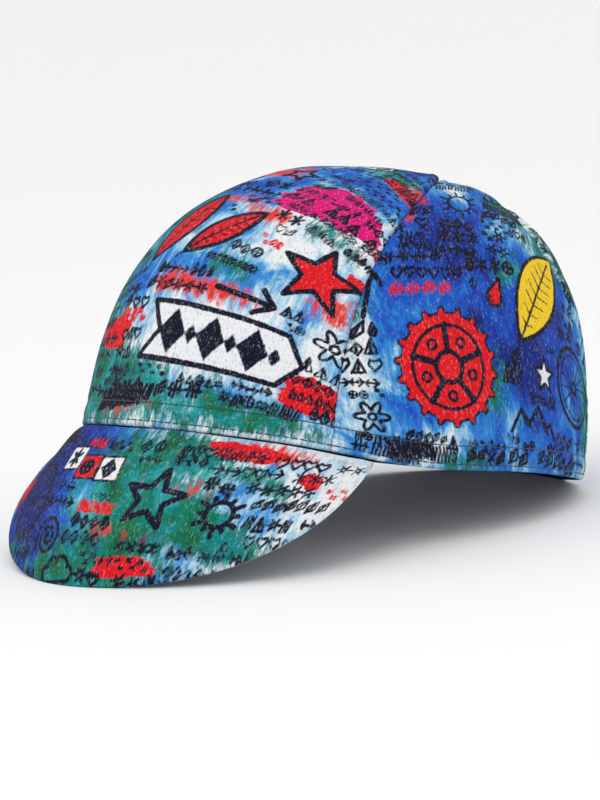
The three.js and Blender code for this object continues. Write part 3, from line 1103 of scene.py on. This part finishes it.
# Where a panel's points lie on its flat cloth, across from its middle line and up from the rim, as on a ball
def flatten(away, climb, across, middle_line):
    up_line, probe = middle_line
    away, climb = np.radians(away), np.radians(climb)
    sideways = np.cos(climb) * np.sin(away)
    foot = np.degrees(np.arctan2(np.sin(climb), np.cos(climb) * np.cos(away)))
    arc_length = np.cos(climb) * away
    small = np.abs(arc_length) < 1e-6
    ratio = np.where(small, 1, np.arcsin(np.clip(sideways, -1, 1)) / np.where(small, 1, arc_length))
    return across * ratio, np.interp(foot, probe, up_line)


# Shares along the rim, closest at the peak's ends, and shares out from the rim, closest half-way
def peak_grid(rim):
    t = np.linspace(-1, 1, cells_along(rim) + 1)
    share = (PEAK_END_CROWDING * np.sin(t * math.pi / 2) + (1 - PEAK_END_CROWDING) * t)[None, :]
    out = np.linspace(0, 1, cells_along(PEAK_REACH) + 1)[:, None]
    out = out + PEAK_MIDDLE_CROWDING / (2 * math.pi) * np.sin(2 * math.pi * out)
    return np.broadcast_arrays(share, out)


# Where the peak's points lie on its flat cloth, across from its middle line and down from the rim
def flatten_peak(share, run, probe, root):
    root_at = np.interp(share, probe, root - root[-1] / 2)
    lean = np.radians(PEAK_CHART_LEAN * PEAK_FAN * share)
    return root_at + run * np.sin(lean), -run * np.cos(lean)


# One face of the peak, on the top or under it, whose turned edges meet at the seam round the peak
def make_peak_face(name, draw, number, under):
    probe = np.linspace(-1, 1, ROOT_PROBES)
    root = lengths_along(peak_point(probe, 0), 0)
    share, out = peak_grid(root[-1])
    reach = peak_reach(share)
    run = reach * out
    across, below = flatten_peak(share, run, probe, root)
    from_end = (1 - np.abs(share)) * root[-1] / 2
    edge = np.minimum(reach - run, from_end + run * PEAK_SIDE_SLANT + PEAK_SIDE_START)
    waves = PEAK_WAVE_HEIGHT * soft_waves(across, below, number + 40) * np.clip(edge / PEAK_WAVE_EASE, 0, 1)
    rolled = rounding(edge, PEAK_FOLD)
    roll_line = ROLL_LINE * bump(edge - ROLL_LINE_PLACE, ROLL_LINE_WIDTH)
    half = PEAK_THICKNESS / 2
    if under:
        depth = np.maximum(PEAK_THICKNESS - rolled - waves + roll_line, half + PEAK_MIDDLE_GAP)
        wrong_side = np.minimum(half + PEAK_WRONG_SIDE, depth - PEAK_THINNEST)
    else:
        depth = np.minimum(rolled - waves - roll_line, half - PEAK_MIDDLE_GAP)
        wrong_side = np.maximum(half - PEAK_WRONG_SIDE, depth + PEAK_THINNEST)
    surface, down = peak_point(share, out), peak_under(share, out)
    tuck = PEAK_INSET * np.exp(-run / PEAK_INSET_REACH)
    outside = surface + down * (depth + tuck)[..., None]
    inside = surface + down * (wrong_side + tuck)[..., None]
    piece = closed_sheet(name, rest(outside), rest(inside[COARSE_GRID]))
    lay_print(piece, draw, number, across, below)
    area = float((peak_reach(probe)[:-1] * np.diff(root)).sum() * PEAK_WIDENING)
    return piece, (float(across.max() - across.min()), PEAK_REACH + PEAK_TURNED_IN), area


# Climbs at which the crown's cloth has run given lengths up from the rim
def climb_at_length(angle, lengths):
    probe = np.linspace(0, HEM_CLIMB, HEM_PROBES)
    run = lengths_along(crown_point(angle[:, None], probe[None, :]), 1)
    return np.stack([np.interp(lengths, run[i], probe) for i in range(len(angle))], 1)


# The turned hem inside the rim, all the way round
def make_hem(name):
    angle = np.linspace(-180, 180, HEM_COLUMNS, endpoint=False)
    low = np.linspace(0, RIM_FOLD * 1.5, FOLD_STEPS + 1)
    heights = np.concatenate([low[:-1], np.linspace(low[-1], HEM_HEIGHT, HEM_STEPS + 1)])
    climb = climb_at_length(angle, heights)
    angles = np.broadcast_to(angle[None, :], climb.shape)
    surface, inward = crown_point(angles, climb), crown_inward(angles, climb)
    height = np.broadcast_to(heights[:, None], climb.shape)
    x = np.broadcast_to(lengths_along(crown_point(angle, 0), 0)[None, :], climb.shape)
    relief = HEM_WAVE * ripples(x, 0, *HEM_RIPPLES)
    for row in STITCH_ROWS:
        relief -= ROW_GROOVE * bump(height - row, HEM_GROOVE_WIDTH)
    relief = np.clip(relief, -HEM_DEEPEST, HEM_WAVE)
    top = rounding(HEM_HEIGHT - height, HEM_TOP_FOLD)
    depth = HEM_INSIDE + HEM_CLOTH - rounding(height, RIM_FOLD) + relief - top
    hidden = np.minimum(HEM_INSIDE, depth - HEM_THINNEST)
    visible = surface + inward * depth[..., None]
    behind = surface + inward * hidden[..., None]
    piece = closed_sheet(name, rest(visible), rest(behind[COARSE_GRID]), ring=True)
    places = [(x, height), (x[COARSE_GRID], height[COARSE_GRID])]
    cloth = [np.stack([a.ravel() / MM, b.ravel() / MM, np.zeros(a.size)], -1) for a, b in places]
    set_attribute(piece.data, "cloth", np.concatenate(cloth), "FLOAT_VECTOR")
    round_rim = crown_point(np.linspace(-180, 180, HEM_COLUMNS + 1), 0)
    girth = float(np.linalg.norm(np.diff(round_rim, axis=0), axis=1).sum())
    return piece, (girth, HEM_HEIGHT)


# One small function adds a node with its settings and links
def add(tree, kind, inputs=None, **settings):
    made = tree.nodes.new(kind)
    for name, value in settings.items():
        setattr(made, name, value)
    for name, value in (inputs or {}).items():
        if isinstance(value, bpy.types.NodeSocket):
            tree.links.new(value, made.inputs[name])
        else:
            made.inputs[name].default_value = value
    return made


def linear(hexadecimal):
    parts = [int(hexadecimal[i:i + 2], 16) / 255 for i in (1, 3, 5)]
    return [c / 12.92 if c <= 0.04045 else ((c + 0.055) / 1.055) ** 2.4 for c in parts] + [1.0]


def new_material(name):
    material = bpy.data.materials.new(name)
    material.use_nodes = True
    material.node_tree.nodes.clear()
    return material, material.node_tree


def read_mask(tree, name):
    return add(tree, "ShaderNodeAttribute", attribute_name=name).outputs["Fac"]


# Colours in sRGB, those of the print first, and the depths at which each blue and green of a wash stands
PAPER = "#eef0f3"
BLUES = ("#f0f2f4", "#a6d2ea", "#3391da", "#135fc8", "#0e42b0", "#13247c")
BLUE_DEPTHS = (0.10, 0.26, 0.42, 0.62, 0.84, 1.06)
GREENS = ("#35b0b0", "#0c8688", "#0a744c", "#074a3c")
GREEN_DEPTHS = (0.1, 0.4, 0.65, 0.95)
RED = "#e5121c"
RUST = "#e8362c"
GOLD = "#fbd216"
PINK = "#e4007c"
INK = "#0e1026"
SHADE = "#1c2444"
SMUDGE = "#14234e"
THREAD = "#15182e"
THREAD_LIGHT = "#2b3050"
HEM_NAVY = "#222b52"
HEM_LIGHT = "#6f7db0"
BOARD = "#f4f4f4"


def ramp(tree, factor, colours, positions):
    made = add(tree, "ShaderNodeValToRGB", {"Fac": factor})
    stops = made.color_ramp.elements
    while len(stops) < len(colours):
        stops.new(0.5)
    for stop, colour, position in zip(stops, colours, positions):
        stop.position = position
        stop.color = linear(colour)
    return made.outputs["Color"]


# Lays one colour over what is printed so far, where its cover is above zero. In a mix of colours, input 0 is
# the share, inputs 6 and 7 are the two colours, and output 2 is the result.
def lay_ink(tree, under, colour, cover):
    over = colour if isinstance(colour, bpy.types.NodeSocket) else linear(colour)
    return add(tree, "ShaderNodeMix", {0: cover, 6: under, 7: over}, data_type="RGBA").outputs[2]


# Cover of a wash or an ink, roughened by noise: none at one value of its mask and full at another
def cover_of(tree, mask, noise, ragged, none, full):
    inputs = {0: noise, 1: ragged, 2: read_mask(tree, mask)}
    rough = add(tree, "ShaderNodeMath", inputs, operation="MULTIPLY_ADD").outputs[0]
    inputs = {"Value": rough, "From Min": none, "From Max": full, "To Min": 0.0, "To Max": 1.0}
    return add(tree, "ShaderNodeMapRange", inputs, interpolation_type="SMOOTHSTEP").outputs[0]


# Noise about zero at a place on the cloth. The stretch makes it longer up the cloth, and the size is in mm.
def noise_at(tree, place, stretch, size, detail, roughness, distortion=0.0):
    scaled = add(tree, "ShaderNodeVectorMath", {0: place, 1: stretch}, operation="MULTIPLY").outputs[0]
    value = add(tree, "ShaderNodeTexNoise", {
        "Vector": scaled,
        "Scale": 1 / size,
        "Detail": detail,
        "Roughness": roughness,
        "Distortion": distortion,
    }).outputs["Fac"]
    return add(tree, "ShaderNodeMath", {0: value, 1: 0.5}, operation="SUBTRACT").outputs[0]


# Cotton poplin, dye printed: matt, with a grain that breaks the colours into short pale and dark flecks.
# Its threads, about 0.3 mm apart, are drawn 0.7 mm apart so that the render shows them.
def printed_cotton(name):
    material, tree = new_material(name)
    place = add(tree, "ShaderNodeAttribute", attribute_name="cloth").outputs["Vector"]
    clouds = noise_at(tree, place, (1, 0.62, 1), size=15.0, detail=9.0, roughness=0.66, distortion=0.8)
    pools = noise_at(tree, place, (1.2, 0.8, 1.0), size=9.0, detail=7.0, roughness=0.62, distortion=0.4)
    flecks = noise_at(tree, place, (1, 0.42, 1), size=0.55, detail=2.0, roughness=0.6)
    bristle = noise_at(tree, place, (1, 0.2, 1), size=1.3, detail=4.0, roughness=0.68, distortion=0.3)
    colour = lay_inks(tree, clouds, pools, flecks, bristle)
    for fleck, low, high, amount in ((PAPER, 0.07, 0.28, 0.3), (SHADE, -0.04, -0.24, 0.5)):
        inputs = {"Value": flecks, "From Min": low, "From Max": high, "To Min": 0.0, "To Max": amount}
        colour = lay_ink(tree, colour, fleck, add(tree, "ShaderNodeMapRange", inputs).outputs[0])
    inputs = {0: read_mask(tree, "wrong_side"), 1: WRONG_SIDE_PALENESS}
    pale = add(tree, "ShaderNodeMath", inputs, operation="MULTIPLY").outputs[0]
    finish_cotton(tree, place, lay_ink(tree, colour, PAPER, pale), flecks)
    return material


# The blue wash on white, then the other washes over it, then the inks, with the black lines last
def lay_inks(tree, clouds, pools, flecks, bristle):
    blue = read_mask(tree, "blue")
    for noise, amount in ((clouds, 1.7), (bristle, 0.55), (flecks, 0.35)):
        inputs = {0: noise, 1: amount, 2: blue}
        blue = add(tree, "ShaderNodeMath", inputs, operation="MULTIPLY_ADD").outputs[0]
    colour = ramp(tree, blue, BLUES, BLUE_DEPTHS)
    deep = add(tree, "ShaderNodeMath", {0: clouds, 1: 2.4, 2: 0.5}, operation="MULTIPLY_ADD").outputs[0]
    greens = ramp(tree, deep, GREENS, GREEN_DEPTHS)
    both = add(tree, "ShaderNodeMath", {0: pools, 1: bristle}, operation="ADD").outputs[0]
    brushed = add(tree, "ShaderNodeMath", {0: flecks, 1: 0.3, 2: both}, operation="MULTIPLY_ADD").outputs[0]
    worn = add(tree, "ShaderNodeMath", {0: flecks, 1: 0.5, 2: bristle}, operation="MULTIPLY_ADD").outputs[0]
    for mask, ink, noise, ragged, none, full in (
        ("green", greens, brushed, 1.5, 0.26, 0.66),
        ("rust", RUST, brushed, 1.4, 0.30, 0.66),
        ("dark", SMUDGE, brushed, 1.7, 0.34, 1.0),
        ("pink", PINK, bristle, 1.8, 0.25, -0.25),
        ("red", RED, bristle, 1.8, 0.25, -0.25),
        ("gold", GOLD, bristle, 1.8, 0.25, -0.25),
        ("white", PAPER, bristle, 1.8, 0.25, -0.25),
        ("black", INK, worn, 1.0, 0.25, -0.25),
    ):
        colour = lay_ink(tree, colour, ink, cover_of(tree, mask, noise, ragged, none, full))
    return colour


# Fine ribs and flecks in relief, roughness and a little fuzz that catches the light, for any of the cottons
def finish_cotton(tree, place, colour, flecks):
    lean = (0, 0, math.radians(RIB_LEAN))
    turned = add(tree, "ShaderNodeMapping", {"Vector": place, "Rotation": lean}).outputs[0]
    inputs = {"Vector": turned, "Scale": 1 / THREAD_SPACING / 2, "Distortion": 1.2, "Detail": 1.0}
    ribs = add(tree, "ShaderNodeTexWave", inputs, wave_type="BANDS").outputs["Fac"]
    height = add(tree, "ShaderNodeMath", {0: flecks, 1: 1.6, 2: ribs}, operation="MULTIPLY_ADD").outputs[0]
    lifted = add(tree, "ShaderNodeBump", {"Height": height, "Strength": 0.6, "Distance": 0.0003}).outputs[0]
    shader = add(tree, "ShaderNodeBsdfPrincipled", {
        "Base Color": colour,
        "Normal": lifted,
        "Roughness": 0.86,
        "IOR": 1.5,
        "Specular IOR Level": 0.12,
        "Sheen Weight": 0.02,
        "Sheen Roughness": 0.5,
    })
    add(tree, "ShaderNodeOutputMaterial", {"Surface": shader.outputs[0]})


# Plain woven cotton, dyed navy: matt, with pale flecks and the same ribs as the printed cloth
def navy_cotton():
    material, tree = new_material("woven navy cotton")
    place = add(tree, "ShaderNodeAttribute", attribute_name="cloth").outputs["Vector"]
    flecks = noise_at(tree, place, (1, 0.36, 1), size=0.75, detail=3.0, roughness=0.7)
    inputs = {"Value": flecks, "From Min": 0.05, "From Max": 0.3, "To Min": 0.0, "To Max": 0.3}
    light = add(tree, "ShaderNodeMapRange", inputs).outputs[0]
    base = add(tree, "ShaderNodeRGB").outputs[0]
    base.default_value = linear(HEM_NAVY)
    finish_cotton(tree, place, lay_ink(tree, base, HEM_LIGHT, light), flecks)
    return material


# Spun polyester sewing thread: dark navy, slightly glossy, its twist only a faint change of colour
def sewing_thread():
    material, tree = new_material("spun polyester thread")
    place = add(tree, "ShaderNodeTexCoord").outputs["Object"]
    twist = add(tree, "ShaderNodeTexNoise", {"Vector": place, "Scale": 2500.0, "Detail": 2.0}).outputs["Fac"]
    colour = ramp(tree, twist, (THREAD, THREAD_LIGHT), (0.4, 0.7))
    inputs = {"Base Color": colour, "Roughness": 0.55, "Sheen Weight": 0.2}
    shader = add(tree, "ShaderNodeBsdfPrincipled", inputs)
    add(tree, "ShaderNodeOutputMaterial", {"Surface": shader.outputs[0]})
    return material


# Both stitch rows, outside the rim and inside it, as paths on the cloth with the way outwards at each point
def stitch_paths():
    angle = np.linspace(-180, 180, STITCH_PROBES, endpoint=False)
    climb = climb_at_length(angle, np.array(STITCH_ROWS))
    loops = []
    for row, height in enumerate(STITCH_ROWS):
        point, inward = crown_point(angle, climb[row]), crown_inward(angle, climb[row])
        outside = rounding(np.array(height), RIM_FOLD) + STITCH_SINK
        inside = HEM_INSIDE + HEM_CLOTH + STITCH_CLEAR
        for depth, away in ((outside, -inward), (inside, inward)):
            loops.append((rest(point + inward * depth), pitched(away, PITCH)))
    return loops


def make_stitches(name, material):
    loops = stitch_paths()
    points = np.concatenate([loop for loop, _ in loops])
    away = np.concatenate([out for _, out in loops])
    edges, start = [], 0
    for loop, _ in loops:
        count = len(loop)
        edges += [(start + i, start + (i + 1) % count) for i in range(count)]
        start += count
    mesh = bpy.data.meshes.new(name)
    mesh.from_pydata([tuple(p) for p in points], edges, [])
    set_attribute(mesh, "outward", away, "FLOAT_VECTOR")
    path = bpy.data.objects.new(name, mesh)
    bpy.context.scene.collection.objects.link(path)
    modifier = path.modifiers.new("stitches", "NODES")
    modifier.node_group = stitch_tree(material)
    sizes = {"Pitch": STITCH_PITCH, "Length": STITCH_LENGTH, "Thread radius": THREAD_RADIUS}
    for item in modifier.node_group.interface.items_tree:
        if item.name in sizes:
            modifier[item.identifier] = sizes[item.name]
    graph = bpy.context.evaluated_depsgraph_get()
    made = bpy.data.meshes.new_from_object(path.evaluated_get(graph))
    bpy.data.objects.remove(path)
    piece = bpy.data.objects.new(name, made)
    bpy.context.scene.collection.objects.link(piece)
    made.shade_smooth()
    return piece


# Puts one arched stitch at every pitch along each path
def stitch_tree(material):
    tree = bpy.data.node_groups.new("stitches", "GeometryNodeTree")
    tree.interface.new_socket("Path", in_out="INPUT", socket_type="NodeSocketGeometry")
    for size in ("Pitch", "Length", "Thread radius"):
        tree.interface.new_socket(size, in_out="INPUT", socket_type="NodeSocketFloat")
    tree.interface.new_socket("Stitches", in_out="OUTPUT", socket_type="NodeSocketGeometry")
    start = add(tree, "NodeGroupInput")
    line = add(tree, "GeometryNodeMeshToCurve", {"Mesh": start.outputs["Path"]}).outputs[0]
    inputs = {"Curve": line, "Length": start.outputs["Pitch"]}
    places = add(tree, "GeometryNodeCurveToPoints", inputs, mode="LENGTH")
    outward = add(tree, "GeometryNodeInputNamedAttribute", {"Name": "outward"}, data_type="FLOAT_VECTOR")
    inputs = {"Vector": outward.outputs["Attribute"]}
    upright = add(tree, "FunctionNodeAlignRotationToVector", inputs, axis="Z")
    inputs = {"Rotation": upright.outputs[0], "Vector": places.outputs["Tangent"]}
    along = add(tree, "FunctionNodeAlignRotationToVector", inputs, axis="X", pivot_axis="Z")
    copies = add(tree, "GeometryNodeInstanceOnPoints", {
        "Points": places.outputs["Points"],
        "Instance": one_stitch(tree, start.outputs["Length"], start.outputs["Thread radius"]),
        "Rotation": along.outputs[0],
    }).outputs[0]
    real = add(tree, "GeometryNodeRealizeInstances", {"Geometry": copies}).outputs[0]
    done = add(tree, "GeometryNodeSetMaterial", {"Geometry": real, "Material": material}).outputs[0]
    add(tree, "NodeGroupOutput", {"Stitches": done})
    return tree


# An arch of thread that rises from below the cloth at one end and dips below it again at the other
def one_stitch(tree, length, radius):
    half = add(tree, "ShaderNodeMath", {0: length, 1: 0.5}, operation="MULTIPLY").outputs[0]
    back = add(tree, "ShaderNodeMath", {0: length, 1: -0.5}, operation="MULTIPLY").outputs[0]
    sunk = add(tree, "ShaderNodeMath", {0: radius, 1: STITCH_ENDS}, operation="MULTIPLY").outputs[0]
    raised = add(tree, "ShaderNodeMath", {0: radius, 1: STITCH_ARCH}, operation="MULTIPLY").outputs[0]
    arch = add(tree, "GeometryNodeCurveQuadraticBezier", {
        "Resolution": 4,
        "Start": add(tree, "ShaderNodeCombineXYZ", {"X": back, "Z": sunk}).outputs[0],
        "Middle": add(tree, "ShaderNodeCombineXYZ", {"Z": raised}).outputs[0],
        "End": add(tree, "ShaderNodeCombineXYZ", {"X": half, "Z": sunk}).outputs[0],
    }).outputs[0]
    inputs = {"Resolution": 6, "Radius": radius}
    thread = add(tree, "GeometryNodeCurvePrimitiveCircle", inputs).outputs["Curve"]
    inputs = {"Curve": arch, "Profile Curve": thread, "Fill Caps": True}
    return add(tree, "GeometryNodeCurveToMesh", inputs).outputs[0]


# Plain pale floor, a little under the surface that the cap rests on
def make_floor():
    mesh = bpy.data.meshes.new("floor")
    ends = ((-1, -1), (1, -1), (1, 1), (-1, 1))
    corners = [(x * FLOOR_HALF_SIDE, y * FLOOR_HALF_SIDE, -FLOOR_DROP) for x, y in ends]
    mesh.from_pydata(corners, [], [(0, 1, 2, 3)])
    floor = bpy.data.objects.new("floor", mesh)
    bpy.context.scene.collection.objects.link(floor)
    material, tree = new_material("matt white board")
    shader = add(tree, "ShaderNodeBsdfPrincipled", {"Base Color": linear(BOARD), "Roughness": 0.9})
    add(tree, "ShaderNodeOutputMaterial", {"Surface": shader.outputs[0]})
    mesh.materials.append(material)


def make_light(name, place, aim, size, power):
    data = bpy.data.lights.new(name, "AREA")
    data.size = size
    data.energy = power
    light = bpy.data.objects.new(name, data)
    light.location = place
    light.rotation_euler = (Vector(aim) - Vector(place)).to_track_quat("-Z", "Y").to_euler()
    bpy.context.scene.collection.objects.link(light)


# Even white light all round and one soft key light from the front
def make_studio():
    world = bpy.data.worlds.new("studio")
    world.use_nodes = True
    background = world.node_tree.nodes["Background"]
    background.inputs["Color"].default_value = (1, 1, 1, 1)
    background.inputs["Strength"].default_value = 0.98
    bpy.context.scene.world = world
    bpy.context.scene.view_settings.view_transform = "Standard"
    make_light("key", place=(0.5, -1.2, 1.5), aim=(0, 0, 0.05), size=0.9, power=7)


def dress(piece, nodes, materials):
    for material in materials:
        piece.data.materials.append(material)
    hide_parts(*nodes)
    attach(piece, "root")


make_camera()
make_floor()
make_studio()

PRINTED = printed_cotton("printed cotton poplin")
PANELS = (
    ("front_panel", lambda c: -front_seam(c), front_seam, print_front, "front_cloth", 1),
    ("left_panel", front_seam, back_seam, print_side, "side_cloth", 2),
    ("right_panel", lambda c: -back_seam(c), lambda c: -front_seam(c), print_side, "side_cloth", 3),
    ("back_panel", back_seam, lambda c: 360 - back_seam(c), print_back, "back_cloth", 4),
)
for node, from_seam, to_seam, draw, slot, number in PANELS:
    panel, flat, area = make_panel(node + "_cloth", from_seam, to_seam, draw, number)
    dress(panel, [node], [PRINTED])

hem, hem_flat = make_hem("hem_cloth")
dress(hem, ["hem_band"], [navy_cotton()])
stitches = make_stitches("hem_stitches", sewing_thread())
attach(stitches, "root")

for node, draw, number, slot in (
    ("peak_top", print_peak, 5, "peak_cloth"),
    ("peak_under", print_peak_under, 6, "peak_under_cloth"),
):
    face, flat, area = make_peak_face(node + "_cloth", draw, number, node == "peak_under")
    dress(face, [node], [PRINTED])
